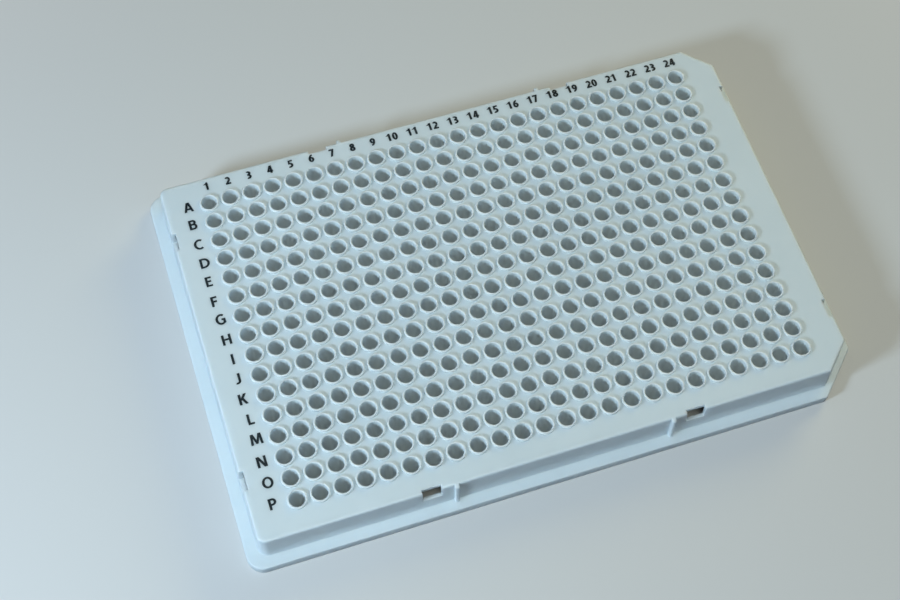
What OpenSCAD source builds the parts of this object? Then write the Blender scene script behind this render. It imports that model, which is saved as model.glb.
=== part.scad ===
// Low-profile 384-well plate with a full skirt, moulded in one piece.
// Origin: centre of the footprint, on the plane that the flange stands on. +X runs from column 1 to
// column 24, +Y runs from row P to row A, +Z is up. All sizes are in millimetres.

/* [Footprint] */
// Length of the base flange
plate_l = 127.76; // [124:0.01:134]
// Width of the base flange
plate_w = 85.48; // [83:0.01:92]
// Height from the base to the top of the well rims
plate_h = 9.9; // [8.5:0.1:14]

/* [Base flange] */
// Height of the flange's upright edge
flange_h = 2.4; // [1.6:0.1:3.5]
// Thickness of the flange
flange_t = 1; // [0.7:0.05:1.4]
// Radius of the flange's two round corners, at the column 1 end
flange_corner_r = 3.4; // [1.5:0.1:5]
// Length cut off each side at the flange's two cut corners, at the column 24 end
flange_cut = 8.6; // [7:0.1:11]
// Break along the flange's upper edge
flange_edge = 0.25; // [0.1:0.05:0.4]

/* [Body] */
// Length of the body at deck level
body_l = 122; // [118:0.1:122.4]
// Width of the body at deck level
body_w = 80.1; // [78:0.1:80.6]
// Radius of the body's two round corners
body_corner_r = 1.7; // [1:0.1:3]
// Length cut off each side at the body's two cut corners
body_cut = 5.4; // [4:0.1:6.5]
// Thickness of the side walls
wall_t = 0.8; // [0.6:0.05:1]
// How far the walls lean out between the deck and the base
wall_draft = 0.3; // [0:0.05:0.5]
// Thickness of the deck
deck_t = 1.1; // [0.8:0.05:1.6]
// Rounding along the deck's edge
deck_edge_r = 0.45; // [0.2:0.05:0.6]

/* [Wells] */
// Number of columns
cols = 24; // [2:1:24]
// Number of rows
rows = 16; // [2:1:16]
// Distance between neighbouring wells
pitch = 4.5; // [4.4:0.01:4.55]
// Bore of a well at its mouth
well_d = 3.16; // [2.8:0.02:3.3]
// Depth of a well, from the top of its rim
well_depth = 9; // [7:0.1:9]
// Depth of the nearly straight part of a well
well_neck = 2.2; // [1.5:0.1:4]
// Radius of a well's round bottom
well_tip_r = 0.75; // [0.5:0.05:1]
// Thickness of a well's wall
well_wall = 0.42; // [0.3:0.02:0.5]
// Height of the rim round each well's mouth
rim_h = 0.6; // [0.3:0.05:1]
// Break along both edges of a rim
rim_edge = 0.1; // [0.04:0.01:0.14]

/* [Edge slots] */
// Width of a slot
slot_w = 3.86; // [3:0.02:5]
// Depth of a slot, in from the edge of the deck
slot_depth = 0.93; // [0.85:0.01:1.2]
// Depth of a slot, down from the deck
slot_drop = 3.4; // [2:0.1:5]
// Wells between the plate's middle and the middle of a slot
slot_wells = 6; // [3:1:6]

/* [Side ribs] */
// Distance of a rib from the plate's middle
rib_x = 22.15; // [10:0.05:24]
// Width of a rib
rib_w = 0.9; // [0.6:0.05:1.5]
// How far a rib stands out from the wall
rib_proud = 0.75; // [0.3:0.05:1]
// How far a rib stops below the deck
rib_top_gap = 0.2; // [0.1:0.05:1]

/* [Hidden] */

deck_z = plate_h - rim_h;
under_deck_z = deck_z - deck_t;
foot_y = body_w / 2 + wall_draft;
below = 1; // how far a cutter reaches out of the part
over_rim = 0.3; // how far a well's cutter reaches above its rim
neck_draft = 0.03; // how much the neck of a well narrows
edge_steps = 3; // flats that make up a rounded edge
corner_steps = 8; // flats that make up a round corner
tip_steps = 3; // cones that make up the bottom of a well
$fn = 32;

// Outline of a plate with two round corners at -X and two cut corners at +X, moved in by inset.
function outline(l, w, corner_r, cut, inset = 0) =
    let (x = l / 2 - inset, y = w / 2 - inset,
         r = corner_r - inset, c = cut - inset * (2 - sqrt(2)))
    concat(
        [[x - c, -y], [x, c - y], [x, y - c], [x - c, y]],
        [for (i = [0 : corner_steps]) let (a = 90 + 90 * i / corner_steps)
            [-x + r + r * cos(a), y - r + r * sin(a)]],
        [for (i = [0 : corner_steps]) let (a = 180 + 90 * i / corner_steps)
            [-x + r + r * cos(a), -y + r + r * sin(a)]]);

module body_slab(inset, z_low, z_high) {
    translate([0, 0, z_low])
        linear_extrude(z_high - z_low)
            polygon(outline(body_l, body_w, body_corner_r, body_cut, inset));
}

module flange_slab(inset, z_low, z_high) {
    translate([0, 0, z_low])
        linear_extrude(z_high - z_low)
            polygon(outline(plate_l, plate_w, flange_corner_r, flange_cut, inset));
}

// Outside of the body: leaning walls and a rounded edge round the deck.
module body_outside() {
    hull() {
        body_slab(-wall_draft, 0, flange_h);
        for (i = [0 : edge_steps])
            let (a = 90 * i / edge_steps)
                body_slab(deck_edge_r * (1 - cos(a)), 0, deck_z - deck_edge_r * (1 - sin(a)));
    }
}

// Hollow of the body, open at the base.
module body_hollow() {
    hull() {
        body_slab(wall_t - wall_draft, -below, flange_h);
        body_slab(wall_t, -below, under_deck_z);
    }
}

module flange_outside() {
    hull() {
        flange_slab(0, 0, flange_h - flange_edge);
        flange_slab(flange_edge, 0, flange_h);
    }
}

// Upright rib on the front wall, following its lean.
module side_rib() {
    inner_y = body_w / 2 - wall_t / 2;
    top_z = deck_z - rib_top_gap;
    translate([-rib_w / 2, 0, 0])
        rotate([90, 0, 90])
            linear_extrude(rib_w)
                polygon([[-inner_y, flange_h - flange_t / 2],
                         [-foot_y - rib_proud, flange_h - flange_t / 2],
                         [-foot_y - rib_proud, flange_h],
                         [-body_w / 2 - rib_proud, top_z - rib_proud / 2],
                         [-body_w / 2 - rib_proud / 2, top_z],
                         [-inner_y, top_z]]);
}

// One slot through the deck's edge and the wall under it, at the front.
module edge_slot(half_span) {
    translate([-slot_w / 2, -half_span - below, deck_z - slot_drop])
        cube([slot_w, slot_depth + below, slot_drop + below]);
}

module slots() {
    for (side = [-1, 1], flip = [0, 1]) {
        mirror([0, flip, 0])
            translate([side * slot_wells * pitch, 0, 0])
                edge_slot(body_w / 2);
        rotate(90 + 180 * flip)
            translate([side * slot_wells * pitch, 0, 0])
                edge_slot(body_l / 2);
    }
}

module skirt_and_deck() {
    difference() {
        union() {
            body_outside();
            flange_outside();
            for (side = [-1, 1], flip = [0, 1])
                mirror([0, flip, 0])
                    translate([side * rib_x, 0, 0])
                        side_rib();
        }
        body_hollow();
        flange_slab(flange_t, -below, flange_h - flange_t);
        slots();
    }
}

module at_wells() {
    for (c = [0 : cols - 1], r = [0 : rows - 1])
        translate([pitch * (c - (cols - 1) / 2), pitch * (r - (rows - 1) / 2), 0])
            children();
}

// Outside of one well: its rim, its neck and its tapered body.
module well_outside() {
    mouth_r = well_d / 2;
    rim_r = mouth_r + well_wall;
    tip_r = well_tip_r + well_wall;
    tip_z = plate_h - well_depth - well_wall;
    neck_z = plate_h - well_neck;
    rotate_extrude()
        polygon([[0, plate_h], [rim_r - rim_edge, plate_h], [rim_r, plate_h - rim_edge],
                 [rim_r, neck_z], [tip_r, tip_z + tip_r / 2], [tip_r / 2, tip_z], [0, tip_z]]);
}

// Hollow of one well: a broken mouth, a nearly straight neck, a cone and a round bottom.
module well_hollow() {
    mouth_r = well_d / 2;
    last_a = 90 * tip_steps / (tip_steps + 1);
    bottom_z = plate_h - well_depth;
    tip_z = bottom_z + well_tip_r * sin(last_a);
    rotate_extrude()
        polygon(concat(
            [[0, plate_h + over_rim], [mouth_r + rim_edge + over_rim, plate_h + over_rim],
             [mouth_r, plate_h - rim_edge], [mouth_r - neck_draft, plate_h - well_neck]],
            [for (i = [0 : tip_steps]) let (a = last_a * i / tip_steps)
                [well_tip_r * cos(a), tip_z - well_tip_r * sin(a)]],
            [[0, bottom_z]]));
}

module plate() {
    color("gainsboro")
        difference() {
            union() {
                skirt_and_deck();
                at_wells() well_outside();
            }
            at_wells() well_hollow();
        }
}

plate();
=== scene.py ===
# Low-profile 384-well plate: the moulded shell, its wells, its printed marks and a plain studio.
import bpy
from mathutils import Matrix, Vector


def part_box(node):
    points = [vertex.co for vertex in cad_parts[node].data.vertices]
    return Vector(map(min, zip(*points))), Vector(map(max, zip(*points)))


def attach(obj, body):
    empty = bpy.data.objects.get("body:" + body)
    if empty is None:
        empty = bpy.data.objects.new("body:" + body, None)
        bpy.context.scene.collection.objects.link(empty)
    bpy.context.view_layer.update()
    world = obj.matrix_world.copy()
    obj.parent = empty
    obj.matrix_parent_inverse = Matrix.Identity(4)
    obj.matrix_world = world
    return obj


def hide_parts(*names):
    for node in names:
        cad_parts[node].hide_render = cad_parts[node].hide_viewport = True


bl_info = {
    "name": "Low-Profile 384-Well Plate",
    "version": (1, 0, 0),
    "blender": (4, 5, 0),
    "location": "View3D > Sidebar > Well Plate",
    "description": "Dresses the packed well plate with mouldings, printed marks and a studio",
    "category": "Add Mesh",
}

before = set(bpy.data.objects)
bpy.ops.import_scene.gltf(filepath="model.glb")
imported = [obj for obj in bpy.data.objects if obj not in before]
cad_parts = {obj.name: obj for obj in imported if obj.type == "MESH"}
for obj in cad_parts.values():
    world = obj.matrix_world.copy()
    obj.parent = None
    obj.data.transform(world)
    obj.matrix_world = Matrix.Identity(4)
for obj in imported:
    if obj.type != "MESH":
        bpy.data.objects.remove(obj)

import math

import bmesh
import bpy
from bpy.props import (
    FloatProperty,
    FloatVectorProperty,
    IntProperty,
    PointerProperty,
)
from mathutils import Matrix, Vector
from mathutils.geometry import delaunay_2d_cdt

MM = 0.001
TINY = 1e-7
BODY = "root"
NODE = "plate"
cad_low, cad_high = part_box(NODE)
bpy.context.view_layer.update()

# Steps that make up each kind of rounding.
CORNER_STEPS = 10
CUT_STEPS = 3
TOE_STEPS = 2
FLANGE_STEPS = 3
FOOT_STEPS = 3
DECK_STEPS = 5
RIM_STEPS = 4
TIP_STEPS = 2

# Edges of the slots that bend more than this, in degrees, are rounded.
SLOT_EDGE_ANGLE = 50
# Faces that meet at less than this, in degrees, are shaded as one smooth surface.
SMOOTH_ANGLE = 38

# Plan of a side rib: places across its half width, and how far out it stands there, as shares.
RIB_PLAN = ((-1.0, 0.0), (-0.93, 0.72), (-0.80, 0.90), (-0.62, 0.98), (-0.40, 1.0),
            (0.40, 1.0), (0.62, 0.98), (0.80, 0.90), (0.93, 0.72), (1.0, 0.0))

# Widths of upright, level and slanting strokes, in units of the height of a mark.
LETTER_STROKES = (0.22, 0.175, 0.215)
NUMBER_STROKES = (0.26, 0.205, 0.25)
# Gap between two digits, in the same units.
MARK_GAP = 0.06

# How far each row letter sits off its place in the print, across and up, in millimetres.
LETTER_SHIFTS = {
    "A": (0.05, -0.07), "B": (0.0, 0.15), "C": (-0.04, -0.2), "D": (0.15, -0.2),
    "E": (-0.14, -0.07), "F": (-0.19, -0.25), "H": (0.07, -0.15), "I": (0.13, -0.14),
    "J": (0.06, 0.0), "K": (-0.08, 0.0), "L": (0.22, 0.0), "M": (0.19, 0.19), "N": (0.0, -0.1),
    "P": (-0.2, 0.1)}

PLASTIC_IOR = 1.49

# Share of the floor's colour that bounces light onto the plate.
FLOOR_BOUNCE = 0.05


# ---------------------------------------------------------------- sizes and colours


class WellPlateShell(bpy.types.PropertyGroup):
    """Sizes of the flange, the skirt and the deck"""

    length: FloatProperty(
        name="Length", description="Length of the base flange",
        default=cad_high.x - cad_low.x, unit="LENGTH", precision=5)
    width: FloatProperty(
        name="Width", description="Width of the base flange",
        default=cad_high.y - cad_low.y, unit="LENGTH", precision=5)
    height: FloatProperty(
        name="Height", description="Height from the base to the top of the well rims",
        default=cad_high.z - cad_low.z, unit="LENGTH", precision=5)
    flange_height: FloatProperty(
        name="Flange height", description="Height of the flange's upright edge",
        default=2.4 * MM, unit="LENGTH", precision=5)
    flange_thickness: FloatProperty(
        name="Flange thickness", description="Thickness of the flange",
        default=1.0 * MM, unit="LENGTH", precision=5)
    flange_corner: FloatProperty(
        name="Flange corner", description="Radius of the flange's two round corners",
        default=3.4 * MM, unit="LENGTH", precision=5)
    flange_cut: FloatProperty(
        name="Flange cut", description="Length cut off each side at the flange's cut corners",
        default=8.6 * MM, unit="LENGTH", precision=5)
    flange_cut_round: FloatProperty(
        name="Flange cut rounding", description="Rounding where a cut corner meets the flange",
        default=0.7 * MM, unit="LENGTH", precision=5)
    flange_round: FloatProperty(
        name="Flange edge", description="Rounding along the flange's upper edge",
        default=0.25 * MM, unit="LENGTH", precision=5)
    flange_toe: FloatProperty(
        name="Flange toe", description="Rounding along the flange's lower edge",
        default=0.12 * MM, unit="LENGTH", precision=5)
    body_length: FloatProperty(
        name="Body length", description="Length of the body at deck level",
        default=122.0 * MM, unit="LENGTH", precision=5)
    body_width: FloatProperty(
        name="Body width", description="Width of the body at deck level",
        default=80.1 * MM, unit="LENGTH", precision=5)
    body_corner: FloatProperty(
        name="Body corner", description="Radius of the body's two round corners",
        default=1.7 * MM, unit="LENGTH", precision=5)
    body_cut: FloatProperty(
        name="Body cut", description="Length cut off each side at the body's cut corners",
        default=5.4 * MM, unit="LENGTH", precision=5)
    body_cut_round: FloatProperty(
        name="Body cut rounding", description="Rounding where a cut corner meets the body",
        default=0.5 * MM, unit="LENGTH", precision=5)
    wall_foot: FloatProperty(
        name="Wall foot", description="Hollow rounding where the walls stand on the flange",
        default=0.2 * MM, unit="LENGTH", precision=5)
    wall: FloatProperty(
        name="Wall", description="Thickness of the side walls",
        default=0.8 * MM, unit="LENGTH", precision=5)
    lean: FloatProperty(
        name="Lean", description="How far the walls lean out between the deck and the flange",
        default=0.3 * MM, unit="LENGTH", precision=5)
    deck: FloatProperty(
        name="Deck", description="Thickness of the deck",
        default=1.1 * MM, unit="LENGTH", precision=5)
    deck_round: FloatProperty(
        name="Deck edge", description="Rounding along the deck's edge",
        default=0.45 * MM, unit="LENGTH", precision=5)
    soft_edge: FloatProperty(
        name="Soft edge", description="Rounding of the small edges of the slots",
        default=0.09 * MM, unit="LENGTH", precision=5)
    slot_width: FloatProperty(
        name="Slot width", description="Width of a slot in the deck's edge",
        default=3.86 * MM, unit="LENGTH", precision=5)
    slot_depth: FloatProperty(
        name="Slot depth", description="Depth of a slot, in from the deck's edge",
        default=0.93 * MM, unit="LENGTH", precision=5)
    slot_drop: FloatProperty(
        name="Slot drop", description="Depth of a slot, down from the deck",
        default=3.4 * MM, unit="LENGTH", precision=5)
    ledge: FloatProperty(
        name="Ledge", description="How far the sills of the end slots reach in past their wall",
        default=0.27 * MM, unit="LENGTH", precision=5)
    slot_place: FloatProperty(
        name="Slot place", description="Distance of a slot from the middle of its side",
        default=27.0 * MM, unit="LENGTH", precision=5)
    rib_place: FloatProperty(
        name="Rib place", description="Distance of a side rib from the middle of the wall",
        default=22.15 * MM, unit="LENGTH", precision=5)
    rib_width: FloatProperty(
        name="Rib width", description="Width of a side rib",
        default=0.9 * MM, unit="LENGTH", precision=5)
    rib_proud: FloatProperty(
        name="Rib stands out", description="How far a side rib stands out from the wall",
        default=0.75 * MM, unit="LENGTH", precision=5)


class WellPlateWells(bpy.types.PropertyGroup):
    """Sizes of the wells and their rims"""

    columns: IntProperty(
        name="Columns", description="Number of columns of wells", default=24, min=1, max=24)
    rows: IntProperty(
        name="Rows", description="Number of rows of wells", default=16, min=1, max=16)
    pitch: FloatProperty(
        name="Pitch", description="Distance between neighbouring wells",
        default=4.5 * MM, unit="LENGTH", precision=5)
    mouth: FloatProperty(
        name="Mouth", description="Bore of a well at its mouth",
        default=3.16 * MM, unit="LENGTH", precision=5)
    wall: FloatProperty(
        name="Well wall", description="Thickness of a well's wall and rim",
        default=0.42 * MM, unit="LENGTH", precision=5)
    rim_height: FloatProperty(
        name="Rim height", description="Height of the rim round each mouth, above the deck",
        default=0.6 * MM, unit="LENGTH", precision=5)
    rim_round: FloatProperty(
        name="Rim rounding", description="Rounding along the top edges of a rim",
        default=0.17 * MM, unit="LENGTH", precision=5)
    depth: FloatProperty(
        name="Depth", description="Depth of a well, from the top of its rim",
        default=9.0 * MM, unit="LENGTH", precision=5)
    neck: FloatProperty(
        name="Neck", description="Depth of the nearly straight part of a well",
        default=2.2 * MM, unit="LENGTH", precision=5)
    neck_draft: FloatProperty(
        name="Neck draft", description="How much the bore narrows along its neck",
        default=0.03 * MM, unit="LENGTH", precision=5)
    tip: FloatProperty(
        name="Tip radius", description="Radius of a well's round bottom",
        default=0.75 * MM, unit="LENGTH", precision=5)
    segments: IntProperty(
        name="Segments", description="Flats round each rim, twice those of its cup",
        default=24, min=16, max=24, step=2)


class WellPlatePrint(bpy.types.PropertyGroup):
    """Sizes and places of the printed marks"""

    letter_height: FloatProperty(
        name="Letter height", description="Height of the row letters",
        default=2.27 * MM, unit="LENGTH", precision=5)
    letter_x: FloatProperty(
        name="Letter place", description="Middle of the row letters along the plate",
        default=-56.15 * MM, unit="LENGTH", precision=5)
    letter_rise: FloatProperty(
        name="Letter rise", description="How far a row letter sits behind the middle of its row",
        default=0.48 * MM, unit="LENGTH", precision=5)
    number_height: FloatProperty(
        name="Number height", description="Height of the column numbers",
        default=1.82 * MM, unit="LENGTH", precision=5)
    number_y: FloatProperty(
        name="Number place", description="Middle of the column numbers across the plate",
        default=37.97 * MM, unit="LENGTH", precision=5)
    single_shift: FloatProperty(
        name="Single digit shift", description="How far a one-digit number sits past its column",
        default=0.5 * MM, unit="LENGTH", precision=5)
    double_shift: FloatProperty(
        name="Two-digit shift", description="How far a two-digit number sits past its column",
        default=0.24 * MM, unit="LENGTH", precision=5)
    ink_height: FloatProperty(
        name="Ink height", description="How far the ink stands above the deck",
        default=0.012 * MM, unit="LENGTH", precision=6)


class WellPlateFinish(bpy.types.PropertyGroup):
    """Colours and surface of the plastic and the ink"""

    plastic: FloatVectorProperty(
        name="Plastic", description="Colour of the moulded polypropylene",
        default=(0.70, 0.78, 0.82), size=3, subtype="COLOR", min=0.0, max=1.0)
    plastic_thin: FloatVectorProperty(
        name="Plastic flow", description="Colour where the moulding is a little cloudier",
        default=(0.73, 0.81, 0.85), size=3, subtype="COLOR", min=0.0, max=1.0)
    plastic_roughness: FloatProperty(
        name="Plastic roughness", description="Roughness of the moulded surface",
        default=0.42, min=0.0, max=1.0, subtype="FACTOR")
    spread: FloatProperty(
        name="Light spread", description="How far light travels inside the plastic",
        default=1.2 * MM, unit="LENGTH", precision=5)
    ink: FloatVectorProperty(
        name="Ink", description="Colour of the printed marks",
        default=(0.006, 0.012, 0.016), size=3, subtype="COLOR", min=0.0, max=1.0)
    ink_thin: FloatVectorProperty(
        name="Thin ink", description="Colour of the marks where the ink is thinner",
        default=(0.0136, 0.0232, 0.0296), size=3, subtype="COLOR", min=0.0, max=1.0)
    ink_roughness: FloatProperty(
        name="Ink roughness", description="Roughness of the printed marks",
        default=0.5, min=0.0, max=1.0, subtype="FACTOR")
    uneven_gloss: FloatProperty(
        name="Uneven gloss", description="How far the roughness strays to either side",
        default=0.06, min=0.0, max=1.0, subtype="FACTOR")
    grain_size: FloatProperty(
        name="Grain size", description="Width of the fine grain of the mould's surface",
        default=0.35 * MM, unit="LENGTH", precision=5)
    grain: FloatProperty(
        name="Grain", description="Depth of the fine grain of the mould's surface",
        default=0.0012 * MM, unit="LENGTH", precision=7)
    ripple_size: FloatProperty(
        name="Ripple size", description="Width of the slow ripple left by shrinkage",
        default=16.0 * MM, unit="LENGTH", precision=5)
    ripple: FloatProperty(
        name="Ripple", description="Depth of the slow ripple left by shrinkage",
        default=0.012 * MM, unit="LENGTH", precision=7)


class WellPlateStudio(bpy.types.PropertyGroup):
    """Floor, lamps, room light and camera"""

    floor: FloatVectorProperty(
        name="Floor", description="Colour of the plain floor",
        default=(0.68, 0.68, 0.68), size=3, subtype="COLOR", min=0.0, max=1.0)
    floor_size: FloatProperty(
        name="Floor size", description="Length of the floor's sides",
        default=4.0, unit="LENGTH")
    backdrop: FloatVectorProperty(
        name="Backdrop", description="Even colour of the backdrop and the floor's far parts",
        default=(0.57, 0.58, 0.585), size=3, subtype="COLOR", min=0.0, max=1.0)
    fade_start: FloatProperty(
        name="Fade start", description="Distance from the plate at which the floor evens out",
        default=0.09, unit="LENGTH")
    fade_end: FloatProperty(
        name="Fade end", description="Distance from the plate beyond which the floor is even",
        default=0.26, unit="LENGTH")
    sky: FloatProperty(
        name="Room light", description="Strength of the even light of the room",
        default=0.138, min=0.0)
    sky_colour: FloatVectorProperty(
        name="Room colour", description="Colour of the even light of the room",
        default=(0.50, 0.67, 1.0), size=3, subtype="COLOR", min=0.0, max=1.0)
    key_place: FloatVectorProperty(
        name="Key place", description="Place of the key lamp",
        default=(-0.340, -0.115, 0.190), size=3, subtype="TRANSLATION", unit="LENGTH")
    key_size: FloatProperty(
        name="Key size", description="Width of the key lamp's round face",
        default=0.07, unit="LENGTH")
    key_power: FloatProperty(
        name="Key power", description="Power of the key lamp",
        default=1.09, min=0.0, unit="POWER")
    key_colour: FloatVectorProperty(
        name="Key colour", description="Colour of the key lamp",
        default=(0.63, 0.825, 1.0), size=3, subtype="COLOR", min=0.0, max=1.0)
    soft_place: FloatVectorProperty(
        name="Softbox place", description="Place of the softbox over the front edge",
        default=(-0.06, -0.20, 0.62), size=3, subtype="TRANSLATION", unit="LENGTH")
    soft_size: FloatProperty(
        name="Softbox size", description="Width of the softbox's round face",
        default=0.2, unit="LENGTH")
    soft_power: FloatProperty(
        name="Softbox power", description="Power of the softbox",
        default=1.37, min=0.0, unit="POWER")
    soft_colour: FloatVectorProperty(
        name="Softbox colour", description="Colour of the softbox",
        default=(0.95, 1.0, 0.88), size=3, subtype="COLOR", min=0.0, max=1.0)
    fill_place: FloatVectorProperty(
        name="Fill place", description="Place of the warm fill lamp",
        default=(0.50, 0.35, 0.30), size=3, subtype="TRANSLATION", unit="LENGTH")
    fill_size: FloatProperty(
        name="Fill size", description="Width of the fill lamp's round face",
        default=0.3, unit="LENGTH")
    fill_power: FloatProperty(
        name="Fill power", description="Power of the fill lamp",
        default=1.30, min=0.0, unit="POWER")
    fill_colour: FloatVectorProperty(
        name="Fill colour", description="Colour of the fill lamp",
        default=(1.0, 0.88, 0.42), size=3, subtype="COLOR", min=0.0, max=1.0)
    camera_place: FloatVectorProperty(
        name="Camera place", description="Place of the camera",
        default=(-0.05921, -0.13617, 0.29286), size=3, subtype="TRANSLATION", unit="LENGTH")
    camera_aim: FloatVectorProperty(
        name="Camera aim", description="Direction in which the camera looks",
        default=(0.15117, 0.42161, -0.89409), size=3, subtype="DIRECTION")
    camera_up: FloatVectorProperty(
        name="Camera up", description="Direction of the top of the camera's view",
        default=(0.27080, 0.85222, 0.44765), size=3, subtype="DIRECTION")
    camera_lens: FloatProperty(
        name="Lens", description="Focal length of the camera, in millimetres",
        default=63.214, min=10.0)
    camera_sensor: FloatProperty(
        name="Sensor", description="Width of the camera's sensor, in millimetres",
        default=36.0, min=1.0)


# ---------------------------------------------------------------- pieces


def add_piece(name, mesh, material):
    """Links a mesh as a piece that rides on the plate's body and has the given material."""
    earlier = bpy.data.objects.get(name)
    if earlier:
        bpy.data.objects.remove(earlier)
    piece = bpy.data.objects.new(name, mesh)
    bpy.context.scene.collection.objects.link(piece)
    mesh.materials.append(material)
    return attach(piece, BODY)


def rounded_outline(length, width, corner, cut, cut_round, inset, marks, bulge):
    """Points round a plate with round corners at -X and cut corners at +X, moved in by inset.

    marks are the places along each side that get a point of their own, each with whether a slot
    begins there and how much of bulge moves it out on the two long sides. Returns the points,
    anticlockwise from above, and the numbers of the points that begin a slot.
    """
    x, y = length / 2 - inset, width / 2 - inset
    c = cut - inset * (2 - math.sqrt(2))
    tightest = 0.02 * MM
    round_bend = max(corner - inset, tightest), CORNER_STEPS
    cut_bend = max(cut_round - inset, tightest), CUT_STEPS
    bends = [
        (-x, -y, *round_bend),
        (x - c, -y, *cut_bend),
        (x, -y + c, *cut_bend),
        (x, y - c, *cut_bend),
        (x - c, y, *cut_bend),
        (-x, y, *round_bend),
    ]
    sides = {0: (1, 0), 2: (0, 1), 4: (-1, 0), 5: (0, -1)}
    points, slots = [], []
    for i, (px, py, r, n) in enumerate(bends):
        at = Vector((px, py))
        before = (Vector(bends[i - 1][:2]) - at).normalized()
        after = (Vector(bends[(i + 1) % len(bends)][:2]) - at).normalized()
        half = before.angle(after) / 2
        centre = at + (before + after).normalized() * (r / math.sin(half))
        start = at + before * (r / math.tan(half)) - centre
        turn = math.pi - 2 * half
        for k in range(n + 1):
            points.append(centre + Matrix.Rotation(turn * k / n, 2) @ start)
        if i in sides:
            dx, dy = sides[i]
            for mark, slot_begins, share in marks:
                if slot_begins:
                    slots.append(len(points))
                out = math.copysign(bulge * share, py)
                points.append(Vector((mark * dx, py + out) if dx else (px, mark * dy)))
    return points, slots


def circle(centre, radius, count):
    """Points of a full circle, count of them."""
    turns = [2 * math.pi * k / count for k in range(count)]
    return [(centre[0] + radius * math.cos(a), centre[1] + radius * math.sin(a)) for a in turns]


def column_x(wells, c):
    """Middle of a column of wells along the plate, with c = 0 for column 1."""
    return wells.pitch * (c - (wells.columns - 1) / 2)


def row_y(wells, r):
    """Middle of a row of wells across the plate, with r = 0 for row A."""
    return wells.pitch * ((wells.rows - 1) / 2 - r)


def well_centres(wells):
    """Middles of the wells, row A first, and column 1 first in each row."""
    return [(column_x(wells, c), row_y(wells, r))
            for r in range(wells.rows) for c in range(wells.columns)]


def holed_sheet(bm, edge, centres, radius, count, z, up):
    """Flat face inside the loop of vertices edge, with a round hole at each of centres."""
    close, places, inside_hole = 1e-6, 4, 0.999
    flat = [Vector((v.co.x / MM, v.co.y / MM)) for v in edge]
    links = [(k, (k + 1) % len(edge)) for k in range(len(edge))]
    verts = list(edge)
    for centre in centres:
        first = len(flat)
        for px, py in circle(centre, radius, count):
            flat.append(Vector((px / MM, py / MM)))
            verts.append(bm.verts.new((px, py, z)))
        links += [(first + k, first + (k + 1) % count) for k in range(count)]
    where, _, faces, origin, _, _ = delaunay_2d_cdt(flat, links, [], 0, close)
    middles = [Vector(c) / MM for c in centres]
    columns = sorted({round(m.x, places) for m in middles})
    rows = sorted({round(m.y, places) for m in middles})
    made = []
    for face in faces:
        middle = sum((where[k] for k in face), Vector((0.0, 0.0))) / len(face)
        near = Vector((min(columns, key=lambda v: abs(v - middle.x)),
                       min(rows, key=lambda v: abs(v - middle.y))))
        if (middle - near).length < radius / MM * inside_hole:
            continue
        corners = [verts[origin[k][0]] for k in face]
        a, b, c = (where[k] for k in face[:3])
        area = (b - a).cross(c - a)
        if abs(area) < TINY:
            continue
        if (area > 0) != up:
            corners.reverse()
        made.append(bm.faces.new(corners))
    return made


def arc(radius, first, last, steps):
    """Points of an arc round the origin, from angle first to last in degrees."""
    turns = [math.radians(first + (last - first) * k / steps) for k in range(steps + 1)]
    return [(radius * math.cos(a), radius * math.sin(a)) for a in turns]


def side_marks(shell):
    """Places along a side that get points: (place, whether a slot begins there, share of a rib)."""
    marks = []
    for side in (-1, 1):
        marks += [(side * shell.slot_place - shell.slot_width / 2, True, 0.0),
                  (side * shell.slot_place + shell.slot_width / 2, False, 0.0)]
        marks += [(side * shell.rib_place + across * shell.rib_width / 2, False, out)
                  for across, out in RIB_PLAN]
    return sorted(marks)


def shell_levels(shell, deck_z, under_z):
    """Outlines of the shell as (kind, inset, height, bulge), up the outside and down the inside.

    With them come the numbers of three: at the slots' sills outside, round the deck's sheet, and
    at the slots' sills inside.
    """
    sill_z = deck_z - shell.slot_drop
    flange_z = shell.flange_height
    hollow_z = flange_z - shell.flange_thickness
    shoulder_z = deck_z - shell.deck_round
    foot, toe = shell.wall_foot, shell.flange_toe

    def body(inset, z, bulge=0.0):
        return "body", inset, z, bulge

    def flange(inset, z):
        return "flange", inset, z, 0.0

    def wall_inset(z):
        return -shell.lean * (1 - (z - flange_z) / (shoulder_z - flange_z))

    def inner_inset(z):
        return shell.wall - shell.lean * (under_z - z) / (under_z - flange_z)

    levels = [flange(toe - u, toe - v) for u, v in reversed(arc(toe, 0, 90, TOE_STEPS))]
    levels += [flange(shell.flange_round - u, flange_z - shell.flange_round + v)
               for u, v in arc(shell.flange_round, 0, 90, FLANGE_STEPS)]
    levels += [body(-shell.lean - foot + u, flange_z + foot + v, shell.rib_proud)
               for u, v in arc(foot, -90, 0, FOOT_STEPS)]
    outer_sill = len(levels)
    levels += [body(wall_inset(sill_z), sill_z, shell.rib_proud)]
    levels += [body(shell.deck_round - u, shoulder_z + v, shell.rib_proud * u / shell.deck_round)
               for u, v in arc(shell.deck_round, 0, 90, DECK_STEPS)]
    deck_level = len(levels)
    levels += [body(shell.slot_depth, deck_z), body(shell.slot_depth, under_z),
               body(shell.wall, under_z)]
    inner_sill = len(levels)
    levels += [body(inner_inset(sill_z), sill_z),
               body(inner_inset(flange_z), flange_z), body(inner_inset(flange_z), hollow_z),
               flange(shell.flange_thickness, hollow_z), flange(shell.flange_thickness, 0.0)]
    return levels, outer_sill, deck_level, inner_sill


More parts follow.
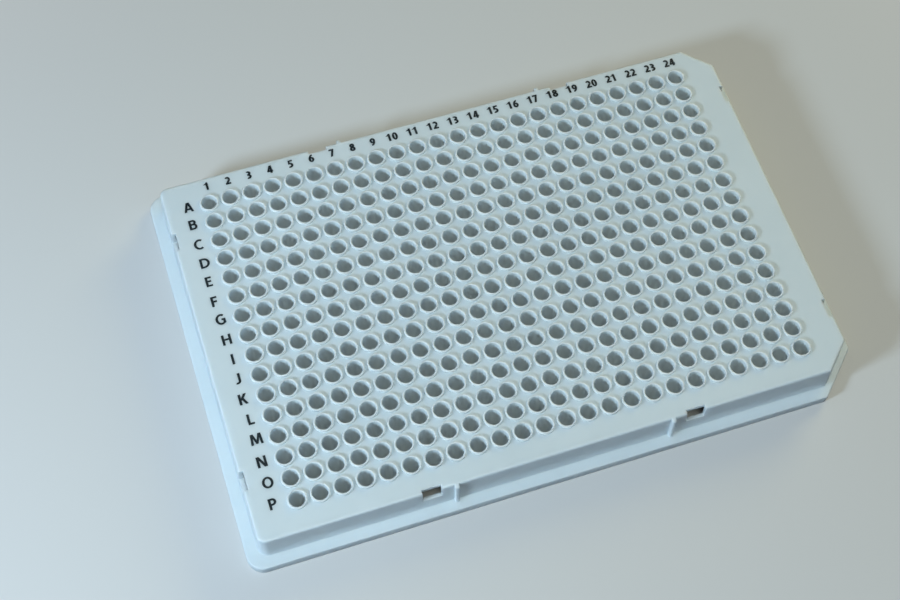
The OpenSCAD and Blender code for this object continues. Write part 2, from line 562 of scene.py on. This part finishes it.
def shell_mesh(shell, wells):
    """Skirt, flange and deck in one closed shell, open where the wells hang from the deck."""
    deck_z = shell.height - wells.rim_height
    under_z = deck_z - shell.deck
    marks = side_marks(shell)
    levels, outer_sill, deck_level, inner_sill = shell_levels(shell, deck_z, under_z)
    bm = bmesh.new()
    rings, slots = [], []
    plans = {
        "body": (shell.body_length, shell.body_width, shell.body_corner, shell.body_cut,
                 shell.body_cut_round),
        "flange": (shell.length, shell.width, shell.flange_corner, shell.flange_cut,
                   shell.flange_cut_round),
    }
    for kind, inset, z, bulge in levels:
        points, slots = rounded_outline(*plans[kind], inset, marks, bulge)
        rings.append([bm.verts.new((p.x, p.y, z)) for p in points])
    for s in slots:
        for sill_end in (rings[inner_sill][s], rings[inner_sill][s + 1]):
            if abs(sill_end.co.y) < shell.slot_place + shell.slot_width:
                sill_end.co.x -= math.copysign(shell.ledge, sill_end.co.x)

    count = len(rings[0])
    open_levels = set(range(outer_sill, inner_sill)) - {deck_level}
    for k, ring in enumerate(rings):
        upper = rings[(k + 1) % len(rings)]
        for s in range(count):
            t = (s + 1) % count
            if k == deck_level or (k in open_levels and s in slots):
                continue
            bm.faces.new((ring[s], ring[t], upper[t], upper[s]))

    soft = {}
    for s in slots:
        back = bm.faces.new((rings[deck_level][s], rings[deck_level][s + 1],
                             rings[deck_level + 1][s + 1], rings[deck_level + 1][s]))
        sill = bm.faces.new((rings[outer_sill][s], rings[outer_sill][s + 1],
                             rings[inner_sill][s + 1], rings[inner_sill][s]))
        ends = [bm.faces.new([rings[k][end] for k in range(outer_sill, inner_sill + 1)])
                for end in (s, s + 1)]
        for face in (back, sill, *ends):
            soft.update(dict.fromkeys(face.edges))
    centres = well_centres(wells)
    rim = wells.mouth / 2 + wells.wall
    deck_faces = holed_sheet(bm, rings[deck_level], centres, rim, wells.segments, deck_z, True)
    holed_sheet(bm, rings[deck_level + 1], centres, rim, wells.segments // 2, under_z, False)
    bmesh.ops.recalc_face_normals(bm, faces=bm.faces)
    if deck_faces[0].normal.z < 0:
        bmesh.ops.reverse_faces(bm, faces=bm.faces)
    soft = [e for e in soft if e.is_valid and len(e.link_faces) == 2
            and e.calc_face_angle(0.0) > math.radians(SLOT_EDGE_ANGLE)]
    bmesh.ops.bevel(bm, geom=soft, offset=shell.soft_edge, segments=2, profile=0.5,
                    affect="EDGES", clamp_overlap=True)
    return finished_mesh("skirt_and_deck", bm)


def finished_mesh(name, bm):
    """Turns bm into a mesh that is smooth over rounded edges and flat over flat faces."""
    draft = bpy.data.meshes.new(name)
    bm.to_mesh(draft)
    bm.free()
    draft.polygons.foreach_set("use_smooth", [True] * len(draft.polygons))
    draft.set_sharp_from_angle(angle=math.radians(SMOOTH_ANGLE))
    holder = bpy.data.objects.new(name + "_draft", draft)
    bpy.context.scene.collection.objects.link(holder)
    even = holder.modifiers.new("Even shading", "WEIGHTED_NORMAL")
    even.keep_sharp = True
    even.weight = 100
    graph = bpy.context.evaluated_depsgraph_get()
    mesh = bpy.data.meshes.new_from_object(holder.evaluated_get(graph))
    mesh.name = name
    bpy.data.objects.remove(holder)
    bpy.data.meshes.remove(draft)
    return mesh


def unit(u, v):
    """The direction of (u, v), one unit long."""
    long = math.hypot(u, v)
    return u / long, v / long


def cup_rows(radius, tip, neck_z, tip_z, side, count):
    """Rows of the tapered cup below the neck, seen from inside (side -1) or outside (side 1)."""
    lean = math.atan2(radius - tip, neck_z - tip_z)
    return [(max(u, 0.0), tip_z + v, (side * u / tip, side * v / tip), count)
            for u, v in arc(tip, -math.degrees(lean), -90, TIP_STEPS)]


def well_sections(shell, wells):
    """Half sections of one well, inside and outside, as (radius, height, normal, flats) rows."""
    top = shell.height
    bore, rim = wells.mouth / 2, wells.mouth / 2 + wells.wall
    half, r = wells.wall / 2, wells.rim_round
    neck_r, neck_z = bore - wells.neck_draft, top - wells.neck
    tip_z = top - wells.depth + wells.tip
    bend = 0.065  # slope of the shading where the neck turns into the cone
    fine, coarse = wells.segments, wells.segments // 2
    inside = [(rim, top - wells.rim_height, (1.0, 0.0), fine)]
    for u, v in arc(1.0, 0, 180, RIM_STEPS):
        inside.append((bore + half + u * half, top - r + v * r, unit(u / half, v / r), fine))
    inside.append((neck_r, neck_z, unit(-1.0, bend), fine))
    inside += cup_rows(neck_r, wells.tip, neck_z, tip_z, -1, coarse)
    outside = [(rim, top - wells.rim_height - shell.deck, (1.0, 0.0), coarse),
               (rim, neck_z, unit(1.0, -bend), coarse)]
    outside += cup_rows(rim, wells.tip + wells.wall, neck_z, tip_z, 1, coarse)
    return inside, outside


def bridge(low, high):
    """Faces between two rings of points, the second with as many points, half as many or one."""
    count = len(low)
    if len(high) == 1:
        return [(low[k], low[(k + 1) % count], high[0]) for k in range(count)]
    if len(high) == count:
        return [(low[k], low[(k + 1) % count], high[(k + 1) % count], high[k])
                for k in range(count)]
    faces = []
    for k in range(len(high)):
        a, b, c = low[2 * k], low[2 * k + 1], low[(2 * k + 2) % count]
        d, e = high[k], high[(k + 1) % len(high)]
        faces += [(a, b, d), (b, c, e), (b, e, d)]
    return faces


def moulding_mesh(shell, wells):
    """The whole moulding in one closed mesh: the shell with every well, and its exact normals."""
    draft = shell_mesh(shell, wells)
    verts = [tuple(v.co) for v in draft.vertices]
    faces = [tuple(p.vertices) for p in draft.polygons]
    corners = [tuple(n.vector) for n in draft.corner_normals]
    bpy.data.meshes.remove(draft)
    for cx, cy in well_centres(wells):
        for rows, flip in zip(well_sections(shell, wells), (False, True)):
            normals, rings, first = [], [], len(verts)
            for radius, z, (nr, nz), count in rows:
                around = circle((0.0, 0.0), 1.0, count) if radius > TINY else [(0.0, 0.0)]
                rings.append(list(range(len(verts), len(verts) + len(around))))
                verts += [(cx + radius * px, cy + radius * py, z) for px, py in around]
                normals += [(nr * px, nr * py, nz) for px, py in around]
            for low, high in zip(rings, rings[1:]):
                for face in bridge(low, high):
                    face = face[::-1] if flip else face
                    faces.append(face)
                    corners += [normals[k - first] for k in face]
    mesh = bpy.data.meshes.new("moulded_plate")
    mesh.from_pydata(verts, [], faces)
    mesh.polygons.foreach_set("use_smooth", [True] * len(faces))
    mesh.normals_split_custom_set(corners)
    return mesh


# ---------------------------------------------------------------- printed marks


class Pen:
    """Strokes of a plain sans serif, in units of the height of a mark."""

    STEEP = 0.6  # rise over run beyond which a stroke is cut level at its ends
    BOW_STEP = 12  # degrees of a curved stroke that one flat covers

    def __init__(self, side, flat, slant):
        self.side, self.flat, self.slant = side, flat, slant

    def bar(self, x0, y0, x1, y1, width=None):
        """Straight stroke, cut level at its ends if it is steep and upright if it is flat."""
        width = width or self.slant
        run, rise = x1 - x0, y1 - y0
        long = math.hypot(run, rise)
        if abs(rise) > abs(run) * self.STEEP:
            h = width / 2 * long / abs(rise)
            return [[(x0 - h, y0), (x0 + h, y0), (x1 + h, y1), (x1 - h, y1)]]
        h = width / 2 * long / abs(run)
        return [[(x0, y0 - h), (x1, y1 - h), (x1, y1 + h), (x0, y0 + h)]]

    def bow(self, cx, cy, rx, ry, first, last):
        """Curved stroke along an ellipse, thicker at its sides than at its top and bottom."""
        steps = max(3, round(abs(last - first) / self.BOW_STEP))
        turns = [math.radians(first + (last - first) * k / steps) for k in range(steps + 1)]
        outer = [(cx + rx * math.cos(a), cy + ry * math.sin(a)) for a in turns]
        inner = [(cx + (rx - self.side) * math.cos(a), cy + (ry - self.flat) * math.sin(a))
                 for a in turns]
        return [[inner[k], outer[k], outer[k + 1], inner[k + 1]] for k in range(steps)]

    def stem(self, x, low=0.0, high=1.0):
        """Upright stroke."""
        return self.bar(x, low, x, high, self.side)

    def level(self, x0, x1, y):
        """Level stroke."""
        return self.bar(x0, y, x1, y, self.flat)

    def letters(self):
        """Strokes of each letter, one unit high, with its width."""
        bar, bow, stem, level = self.bar, self.bow, self.stem, self.level
        top, low, s = 1 - self.flat / 2, self.flat / 2, self.side / 2
        return {
            "A": (0.90, bar(0.12, 0, 0.42, 1) + bar(0.78, 0, 0.48, 1) + level(0.2, 0.7, 0.3)),
            "B": (0.74, stem(s) + level(s, 0.38, top) + level(s, 0.42, 0.53) + level(s, 0.4, low)
                  + bow(0.37, 0.73, 0.3, 0.28, -90, 90) + bow(0.39, 0.3, 0.34, 0.31, -90, 90)),
            "C": (0.82, bow(0.5, 0.5, 0.5, 0.53, 52, 308)),
            "D": (0.88, stem(s) + level(s, 0.36, top) + level(s, 0.36, low)
                  + bow(0.34, 0.5, 0.54, 0.5, -90, 90)),
            "E": (0.58, stem(s) + level(s, 0.56, top) + level(s, 0.52, 0.53) + level(s, 0.58, low)),
            "F": (0.56, stem(s) + level(s, 0.56, top) + level(s, 0.52, 0.5)),
            "G": (0.86, bow(0.49, 0.5, 0.49, 0.53, 52, 322) + stem(0.76, 0.1, 0.56)
                  + level(0.52, 0.86, 0.48)),
            "H": (0.82, stem(s) + stem(0.82 - s) + level(s, 0.74, 0.52)),
            "I": (0.20, stem(s)),
            "J": (0.46, stem(0.35, 0.25, 1.0) + bow(0.11, 0.26, 0.24 + s, 0.28, -115, 0)),
            "K": (0.76, stem(s) + bar(0.2, 0.4, 0.62, 1) + bar(0.64, 0, 0.32, 0.6)),
            "L": (0.56, stem(s) + level(s, 0.56, low)),
            "M": (1.06, bar(0.12, 0, 0.19, 1) + bar(0.96, 0, 0.89, 1)
                  + bar(0.54, 0.06, 0.24, 1, 0.19) + bar(0.54, 0.06, 0.84, 1, 0.19)),
            "N": (0.84, stem(s) + stem(0.84 - s) + bar(0.7, 0, 0.14, 1)),
            "O": (0.96, bow(0.48, 0.5, 0.48, 0.52, 0, 360)),
            "P": (0.68, stem(s) + level(s, 0.36, top) + level(s, 0.36, 0.45)
                  + bow(0.35, 0.685, 0.33, 0.315, -90, 90)),
        }

    def digits(self):
        """Strokes of each digit, one unit high, all of much the same width."""
        bar, bow, stem, level = self.bar, self.bow, self.stem, self.level
        top, low = 1 - self.flat / 2, self.flat / 2
        return {
            "0": (0.66, bow(0.33, 0.5, 0.33, 0.51, 0, 360)),
            "1": (0.66, stem(0.38) + bar(0.12, 0.71, 0.38, 0.88, 0.2)),
            "2": (0.64, bow(0.3, 0.68, 0.31, 0.33, -28, 150) + bar(0.15, 0.1, 0.46, 0.56)
                  + level(0.02, 0.63, low)),
            "3": (0.62, bow(0.26, 0.735, 0.32, 0.275, -90, 128) + level(0.14, 0.28, 0.53)
                  + bow(0.25, 0.29, 0.36, 0.3, -122, 90)),
            "4": (0.68, stem(0.47) + level(0.02, 0.68, 0.28) + bar(0.12, 0.27, 0.42, 1, 0.2)),
            "5": (0.62, level(0.1, 0.59, top) + bar(0.15, 0.46, 0.2, 1, 0.21)
                  + level(0.12, 0.28, 0.56) + bow(0.24, 0.32, 0.37, 0.33, -125, 92)),
            "6": (0.66, bow(0.34, 0.33, 0.32, 0.34, 0, 360) + bow(0.53, 0.36, 0.51, 0.65, 90, 176)),
            "7": (0.62, level(0.02, 0.61, top) + bar(0.21, 0, 0.48, 0.88)),
            "8": (0.66, bow(0.33, 0.74, 0.29, 0.275, 0, 360) + bow(0.33, 0.29, 0.33, 0.3, 0, 360)),
            "9": (0.66, bow(0.32, 0.67, 0.32, 0.34, 0, 360) + bow(0.13, 0.64, 0.51, 0.65, -90, -4)),
        }


def signed_area(points):
    """Area inside a loop of points, positive if it runs anticlockwise."""
    return sum(a[0] * b[1] - b[0] * a[1] for a, b in zip(points, points[1:] + points[:1])) / 2


def stroke_union(shapes):
    """Triangles that cover the strokes of one mark once, with the edge round them."""
    close = 1e-5
    points, loops = [], []
    for shape in shapes:
        if signed_area(shape) < 0:
            shape = shape[::-1]
        loops.append(list(range(len(points), len(points) + len(shape))))
        points += [Vector(p) for p in shape]
    points, _, faces, _, _, parents = delaunay_2d_cdt(points, [], loops, 1, close)
    faces = [face for face, parent in zip(faces, parents) if parent]
    sides = [(face[k - 1], face[k]) for face in faces for k in range(len(face))]
    known = set(sides)
    return points, faces, [side for side in sides if side[::-1] not in known]


def marks_mesh(name, marks, strokes, ink_height, deck_z):
    """Thin blocks of ink on the deck. marks are (text, height, middle x, middle y)."""
    bm = bmesh.new()
    for text, height, x, y in marks:
        wide = sum(strokes[ch][0] for ch in text) + MARK_GAP * (len(text) - 1)
        left = x - wide * height / 2
        for ch in text:
            width, shapes = strokes[ch]
            points, faces, edge = stroke_union(shapes)
            flat = [(left + p.x * height, y + (p.y - 0.5) * height) for p in points]
            top = [bm.verts.new((px, py, deck_z + ink_height)) for px, py in flat]
            foot = [bm.verts.new((px, py, deck_z - ink_height)) for px, py in flat]
            for face in faces:
                bm.faces.new([top[k] for k in face])
            for a, b in edge:
                bm.faces.new((top[b], top[a], foot[a], foot[b]))
            left += (width + MARK_GAP) * height
    bmesh.ops.delete(bm, geom=[v for v in bm.verts if not v.link_faces], context="VERTS")
    mesh = bpy.data.meshes.new(name)
    bm.to_mesh(mesh)
    bm.free()
    return mesh


def print_marks(scene, name, marks, strokes):
    """Adds marks to the deck as one piece of ink."""
    deck_z = scene.well_plate_shell.height - scene.well_plate_wells.rim_height
    mesh = marks_mesh(name, marks, strokes, scene.well_plate_print.ink_height, deck_z)
    add_piece(name, mesh, ink_material(scene.well_plate_finish))


# ---------------------------------------------------------------- materials


class Nodes:
    """Adds and links the nodes of one tree."""

    def __init__(self, tree):
        self.tree = tree

    def add(self, kind, values=None, **settings):
        """Adds a node with its settings, and puts values into its sockets."""
        node = self.tree.nodes.new(kind)
        for key, value in settings.items():
            setattr(node, key, value)
        for socket, value in (values or {}).items():
            node.inputs[socket].default_value = value
        return node

    def link(self, source, target):
        self.tree.links.new(source, target)

    def mix(self, factor, first, second):
        """Shader that goes from first to second as factor goes from 0 to 1."""
        node = self.add("ShaderNodeMixShader")
        for socket, source in enumerate((factor, first, second)):
            self.link(source, node.inputs[socket])
        return node.outputs["Shader"]

    def math(self, operation, a, b):
        node = self.add("ShaderNodeMath", operation=operation)
        for socket, value in zip(node.inputs, (a, b)):
            if isinstance(value, (int, float)):
                socket.default_value = value
            else:
                self.link(value, socket)
        return node.outputs[0]


def moulded_surface_group():
    """Shared relief and cloudiness of the mould's surface.

    Height is in metres, for a Bump node. Cloud and Haze are masks from 0 to 1.
    """
    name = "Moulded surface"
    if name in bpy.data.node_groups:
        return bpy.data.node_groups[name]
    group = bpy.data.node_groups.new(name, "ShaderNodeTree")
    for label, value in (("Grain Size", 0.0004), ("Grain Depth", 0.000001),
                         ("Ripple Size", 0.02), ("Ripple Depth", 0.00001)):
        socket = group.interface.new_socket(
            name=label, in_out="INPUT", socket_type="NodeSocketFloat")
        socket.default_value = value
    for label in ("Height", "Cloud", "Haze"):
        group.interface.new_socket(
            name=label, in_out="OUTPUT", socket_type="NodeSocketFloat")
    n = Nodes(group)
    given = n.add("NodeGroupInput").outputs
    out = n.add("NodeGroupOutput").inputs
    place = n.add("ShaderNodeTexCoord").outputs["Object"]

    def noise(size, detail, roughness, distortion=0.0):
        """Soft noise whose clouds are about size wide."""
        values = {"Detail": detail, "Roughness": roughness, "Distortion": distortion}
        node = n.add("ShaderNodeTexNoise", values, noise_dimensions="3D")
        n.link(place, node.inputs["Vector"])
        n.link(n.math("DIVIDE", 1.0, size), node.inputs["Scale"])
        return node.outputs["Fac"]

    fine = noise(given["Grain Size"], detail=2.0, roughness=0.55)
    grain = n.math("MULTIPLY", fine, given["Grain Depth"])
    slow = noise(given["Ripple Size"], detail=1.5, roughness=0.4, distortion=0.3)
    ripple = n.math("MULTIPLY", slow, given["Ripple Depth"])
    n.link(n.math("ADD", grain, ripple), out["Height"])
    cloud_size = n.math("MULTIPLY", given["Ripple Size"], 1.7)
    cloud = noise(cloud_size, detail=3.0, roughness=0.55, distortion=0.6)
    n.link(ramp(n, cloud, low=0.35, high=0.65), out["Cloud"])
    haze_size = n.math("MULTIPLY", given["Grain Size"], 9.0)
    haze = noise(haze_size, detail=4.0, roughness=0.6)
    n.link(ramp(n, haze, low=0.3, high=0.7), out["Haze"])
    return group


def ramp(n, value, low, high):
    """Spreads value from low..high over 0..1."""
    node = n.add("ShaderNodeMapRange", {"From Min": low, "From Max": high})
    n.link(value, node.inputs["Value"])
    return node.outputs["Result"]


def new_material(name):
    """A material with only a Principled BSDF on its output."""
    material = bpy.data.materials.get(name) or bpy.data.materials.new(name)
    material.use_nodes = True
    material.node_tree.nodes.clear()
    n = Nodes(material.node_tree)
    shader = n.add("ShaderNodeBsdfPrincipled")
    output = n.add("ShaderNodeOutputMaterial")
    n.link(shader.outputs["BSDF"], output.inputs["Surface"])
    return material, n, shader, output


def moulded_material(name, colour, cloudy, roughness, finish):
    """Satin surface: slow colour clouds, uneven gloss, fine grain and slight ripple."""
    material, n, shader, _ = new_material(name)
    relief = {"Grain Size": finish.grain_size, "Grain Depth": finish.grain,
              "Ripple Size": finish.ripple_size, "Ripple Depth": finish.ripple}
    surface = n.add("ShaderNodeGroup", relief, node_tree=moulded_surface_group())
    tint = n.add("ShaderNodeMix", {"A": (*colour, 1.0), "B": (*cloudy, 1.0)}, data_type="RGBA")
    n.link(surface.outputs["Cloud"], tint.inputs["Factor"])
    n.link(tint.outputs["Result"], shader.inputs["Base Color"])
    gloss = n.add("ShaderNodeMapRange", {"To Min": roughness - finish.uneven_gloss,
                                         "To Max": roughness + finish.uneven_gloss})
    n.link(surface.outputs["Haze"], gloss.inputs["Value"])
    n.link(gloss.outputs["Result"], shader.inputs["Roughness"])
    bump = n.add("ShaderNodeBump", {"Strength": 1.0, "Distance": 1.0})
    n.link(surface.outputs["Height"], bump.inputs["Height"])
    n.link(bump.outputs["Normal"], shader.inputs["Normal"])
    shader.inputs["IOR"].default_value = PLASTIC_IOR
    return material, shader


def plastic_material(finish):
    """White polypropylene, which lets light through and spreads it under its surface."""
    material, shader = moulded_material(
        "Moulded polypropylene", finish.plastic, finish.plastic_thin,
        finish.plastic_roughness, finish)
    shader.inputs["Subsurface Weight"].default_value = 1.0
    shader.inputs["Subsurface Radius"].default_value = (1.0, 1.0, 1.0)
    shader.inputs["Subsurface Scale"].default_value = finish.spread
    return material


def ink_material(finish):
    """Matt black ink, a little lighter in places."""
    material, _ = moulded_material(
        "Printed ink", finish.ink, finish.ink_thin, finish.ink_roughness, finish)
    return material


def floor_material(studio):
    """Plain matt floor: pale to the eye, with little bounce onto the walls of the plate.

    It keeps the plate's shadow, and evens out into the backdrop's colour further away.
    """
    material, n, shader, output = new_material("Studio floor")
    shader.inputs["Base Color"].default_value = (*studio.floor, 1.0)
    shader.inputs["Roughness"].default_value = 0.9
    dim = [FLOOR_BOUNCE * c for c in studio.floor]
    quiet = n.add("ShaderNodeBsdfDiffuse", {"Color": (*dim, 1.0)})
    path = n.add("ShaderNodeLightPath").outputs
    seen = n.math("MAXIMUM", n.math("MAXIMUM", path["Is Camera Ray"], path["Is Glossy Ray"]),
                  path["Is Transmission Ray"])
    lit = n.mix(seen, quiet.outputs["BSDF"], shader.outputs["BSDF"])

    even = n.add("ShaderNodeEmission", {"Color": (*studio.backdrop, 1.0)})
    distance = n.add("ShaderNodeVectorMath", operation="LENGTH")
    n.link(n.add("ShaderNodeNewGeometry").outputs["Position"], distance.inputs[0])
    reach = {"From Min": studio.fade_start, "From Max": studio.fade_end}
    fade = n.add("ShaderNodeMapRange", reach, interpolation_type="SMOOTHSTEP")
    n.link(distance.outputs["Value"], fade.inputs["Value"])
    far = n.math("MULTIPLY", seen, fade.outputs["Result"])
    n.link(n.mix(far, lit, even.outputs["Emission"]), output.inputs["Surface"])
    return material


# ---------------------------------------------------------------- operators


class WELLPLATE_OT_moulding(bpy.types.Operator):
    """Make the one-piece moulding: flange, skirt with slots and ribs, deck, rims and wells"""

    bl_idname = "wellplate.moulding"
    bl_label = "Moulding"

    def execute(self, context):
        scene = context.scene
        mesh = moulding_mesh(scene.well_plate_shell, scene.well_plate_wells)
        piece = add_piece("moulded_plate", mesh, plastic_material(scene.well_plate_finish))
        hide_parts(NODE)
        return {"FINISHED"}


class WELLPLATE_OT_row_letters(bpy.types.Operator):
    """Print the row letters down the column 1 side of the deck"""

    bl_idname = "wellplate.row_letters"
    bl_label = "Row Letters"

    def execute(self, context):
        wells, ink = context.scene.well_plate_wells, context.scene.well_plate_print
        marks = []
        for r in range(wells.rows):
            letter = chr(ord("A") + r)
            across, up = LETTER_SHIFTS.get(letter, (0.0, 0.0))
            marks.append((letter, ink.letter_height, ink.letter_x + across * MM,
                          row_y(wells, r) + ink.letter_rise + up * MM))
        print_marks(context.scene, "row_letters", marks, Pen(*LETTER_STROKES).letters())
        return {"FINISHED"}


class WELLPLATE_OT_column_numbers(bpy.types.Operator):
    """Print the column numbers along the row A side of the deck"""

    bl_idname = "wellplate.column_numbers"
    bl_label = "Column Numbers"

    def execute(self, context):
        wells, ink = context.scene.well_plate_wells, context.scene.well_plate_print
        marks = []
        for c in range(wells.columns):
            number = str(c + 1)
            shift = ink.single_shift if len(number) == 1 else ink.double_shift
            marks.append((number, ink.number_height, column_x(wells, c) + shift, ink.number_y))
        print_marks(context.scene, "column_numbers", marks, Pen(*NUMBER_STROKES).digits())
        return {"FINISHED"}


def add_lamp(name, place, size, power, colour):
    """Round area lamp at place that shines on the middle of the rims."""
    lamp = bpy.data.lights.new(name, "AREA")
    lamp.shape = "DISK"
    lamp.size = size
    lamp.energy = power
    lamp.color = colour
    holder = bpy.data.objects.new(name, lamp)
    holder.location = place
    way = Vector((0.0, 0.0, cad_high.z)) - Vector(place)
    holder.rotation_euler = way.to_track_quat("-Z", "Y").to_euler()
    bpy.context.scene.collection.objects.link(holder)


class WELLPLATE_OT_studio(bpy.types.Operator):
    """Set up the plain floor, the lamps, the room light and the camera"""

    bl_idname = "wellplate.studio"
    bl_label = "Studio"

    def execute(self, context):
        scene = context.scene
        studio = scene.well_plate_studio
        bm = bmesh.new()
        bmesh.ops.create_grid(bm, x_segments=1, y_segments=1, size=studio.floor_size / 2)
        mesh = bpy.data.meshes.new("studio_floor")
        bm.to_mesh(mesh)
        bm.free()
        mesh.materials.append(floor_material(studio))
        floor = bpy.data.objects.new("studio_floor", mesh)
        scene.collection.objects.link(floor)

        for name, lamp in (("Key", "key"), ("Softbox", "soft"), ("Fill", "fill")):
            add_lamp(name, *[getattr(studio, f"{lamp}_{value}")
                             for value in ("place", "size", "power", "colour")])

        world = bpy.data.worlds.new("Room")
        scene.world = world
        world.use_nodes = True
        world.node_tree.nodes.clear()
        n = Nodes(world.node_tree)
        light = {"Color": (*studio.sky_colour, 1.0), "Strength": studio.sky}
        room = n.add("ShaderNodeBackground", light)
        even = n.add("ShaderNodeBackground", {"Color": (*studio.backdrop, 1.0)})
        seen = n.add("ShaderNodeLightPath").outputs["Is Camera Ray"]
        sky = n.mix(seen, room.outputs["Background"], even.outputs["Background"])
        n.link(sky, n.add("ShaderNodeOutputWorld").inputs["Surface"])

        lens = bpy.data.cameras.new("Camera")
        lens.sensor_width = studio.camera_sensor
        lens.lens = studio.camera_lens
        lens.clip_start = 0.01
        lens.clip_end = 20.0
        camera = bpy.data.objects.new("Camera", lens)
        back = -Vector(studio.camera_aim).normalized()
        right = Vector(studio.camera_up).cross(back).normalized()
        turn = Matrix((right, back.cross(right), back)).transposed()
        camera.matrix_world = Matrix.Translation(studio.camera_place) @ turn.to_4x4()
        scene.collection.objects.link(camera)
        scene.camera = camera
        scene.view_settings.view_transform = "Standard"
        return {"FINISHED"}


class VIEW3D_PT_well_plate(bpy.types.Panel):
    """Sizes, finishes and steps of the well plate"""

    bl_label = "Well Plate"
    bl_idname = "VIEW3D_PT_well_plate"
    bl_space_type = "VIEW_3D"
    bl_region_type = "UI"
    bl_category = "Well Plate"

    def draw(self, context):
        scene = context.scene
        steps = (
            (scene.well_plate_shell, ()),
            (scene.well_plate_wells, (WELLPLATE_OT_moulding,)),
            (scene.well_plate_print, (WELLPLATE_OT_row_letters, WELLPLATE_OT_column_numbers)),
            (scene.well_plate_finish, ()),
            (scene.well_plate_studio, (WELLPLATE_OT_studio,)),
        )
        for group, operators in steps:
            box = self.layout.box()
            for key in group.bl_rna.properties.keys():
                if key not in ("rna_type", "name"):
                    box.prop(group, key)
            for operator in operators:
                box.operator(operator.bl_idname)


GROUPS = {
    "well_plate_shell": WellPlateShell,
    "well_plate_wells": WellPlateWells,
    "well_plate_print": WellPlatePrint,
    "well_plate_finish": WellPlateFinish,
    "well_plate_studio": WellPlateStudio,
}
CLASSES = (
    *GROUPS.values(),
    WELLPLATE_OT_moulding,
    WELLPLATE_OT_row_letters,
    WELLPLATE_OT_column_numbers,
    WELLPLATE_OT_studio,
    VIEW3D_PT_well_plate,
)


def register():
    for cls in CLASSES:
        bpy.utils.register_class(cls)
    for key, group in GROUPS.items():
        setattr(bpy.types.Scene, key, PointerProperty(type=group))


def unregister():
    for key in GROUPS:
        delattr(bpy.types.Scene, key)
    for cls in reversed(CLASSES):
        bpy.utils.unregister_class(cls)


def main():
    register()
    bpy.ops.wellplate.moulding()
    bpy.ops.wellplate.row_letters()
    bpy.ops.wellplate.column_numbers()
    bpy.ops.wellplate.studio()


if __name__ == "__main__":
    main()
